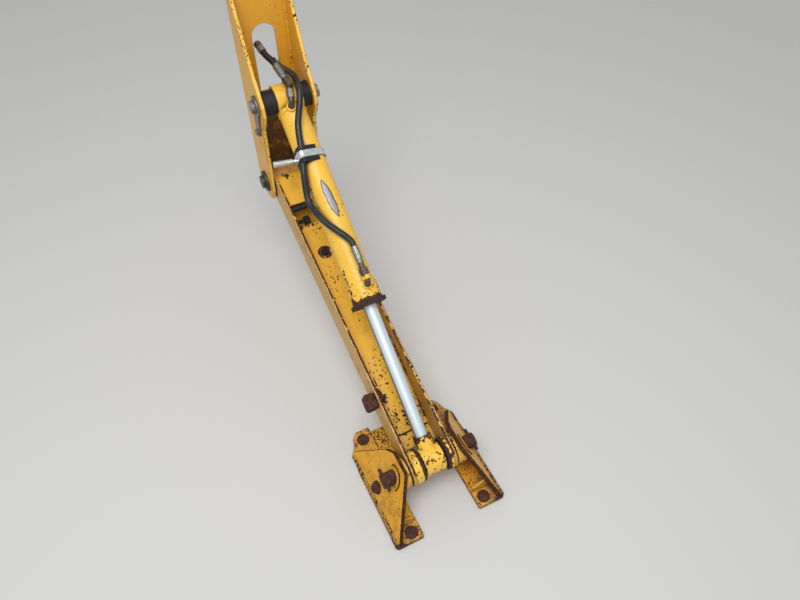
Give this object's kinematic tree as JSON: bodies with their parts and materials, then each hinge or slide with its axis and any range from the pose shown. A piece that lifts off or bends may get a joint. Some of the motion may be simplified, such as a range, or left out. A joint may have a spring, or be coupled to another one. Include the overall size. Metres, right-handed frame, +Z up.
{
  "type": "backhoe stabilizer leg",
  "caption": "Right-hand stabilizer leg of a backhoe loader: frame bracket, swinging box leg, hydraulic cylinder with hoses and pivoting ground foot",
  "frame": {"origin": "centre line of the bracket's frame face, level with the leg pivot", "axes": "X outboard from the frame, Y forward along the pins, Z up"},
  "size_m": [1.4492, 0.414, 1.2246],
  "materials": {
    "frame_paint": "chipped gloss paint",
    "pin_steel": "dull greased steel",
    "leg_paint": "worn paint with rust at the edges",
    "rusty_iron": "brown rust",
    "ram_paint": "gloss paint",
    "black_rubber": "matt",
    "zinc_steel": "bright zinc",
    "fitting_steel": "dull plated steel",
    "chrome_rod": "bright hard chrome",
    "foot_paint": "worn paint, rust-dark edges"
  },
  "bodies": {
    "bracket": {"bracket_web": "frame_paint", "bracket_rear_cheek": "frame_paint", "bracket_front_cheek": "frame_paint", "upper_pin": "pin_steel", "upper_pin_keeper": "frame_paint", "leg_pin": "pin_steel", "leg_pin_collars": "frame_paint", "eye_spacers": "black_rubber", "slot_fittings": "fitting_steel"},
    "leg": {"leg_rear_side": "leg_paint", "leg_front_side": "leg_paint", "leg_top_plate": "leg_paint", "leg_ramp": "leg_paint", "leg_bottom_plate": "leg_paint", "leg_cover_plate": "leg_paint", "leg_stop_bar": "black_rubber", "leg_pivot_tube": "leg_paint", "leg_foot_bosses": "leg_paint", "leg_lock_block": "rusty_iron", "leg_block_stud": "rusty_iron", "leg_plug": "rusty_iron", "foot_pin_ends": "pin_steel", "foot_thrust_rings": "rusty_iron"},
    "barrel": {"barrel_tube": "ram_paint", "barrel_base": "ram_paint", "gland_head": "ram_paint", "gland_flange": "rusty_iron", "base_elbow": "fitting_steel", "rod_elbow": "ram_paint", "clamp_band": "zinc_steel", "clamp_saddle": "black_rubber", "clamp_bolt": "zinc_steel", "hose_base": "black_rubber", "hose_base_sleeve": "fitting_steel", "hose_rod": "black_rubber", "hose_rod_sleeve": "fitting_steel"},
    "rod": {"rod": "chrome_rod", "rod_eye": "ram_paint", "rod_pin_core": "pin_steel"},
    "foot": {"rear_shoe": "foot_paint", "front_shoe": "foot_paint", "rear_ear": "foot_paint", "front_ear": "foot_paint", "ear_collars": "foot_paint", "shoe_tie": "foot_paint", "shoe_ribs": "foot_paint"}
  },
  "joints": [
    {"name": "leg_swing", "type": "hinge", "parent": "bracket", "child": "leg", "pos_m": [0.09, 0, 0], "axis": [0, 1, 0], "range_deg": [-76.5, 5]},
    {"name": "barrel_swing", "type": "hinge", "parent": "bracket", "child": "barrel", "pos_m": [0.155, 0, 0.378], "axis": [0, 1, 0], "range_deg": [-84.6, 5.5], "deforming": ["hose_base", "hose_rod"]},
    {"name": "rod_slide", "type": "slide", "parent": "barrel", "child": "rod", "axis": [0.8397, 0, -0.5431], "range_m": [-0.4497, 0.0294]},
    {"name": "foot_tilt", "type": "hinge", "parent": "leg", "child": "foot", "pos_m": [1.26924, 0, -0.3426], "axis": [0, 1, 0], "range_deg": [-60, 25]}
  ],
  "couplings": [
    {"joint": "barrel_swing", "follows": "leg_swing", "ratio": 1.106},
    {"joint": "rod_slide", "follows": "leg_swing", "m_per_rad": 0.3368}
  ]
}
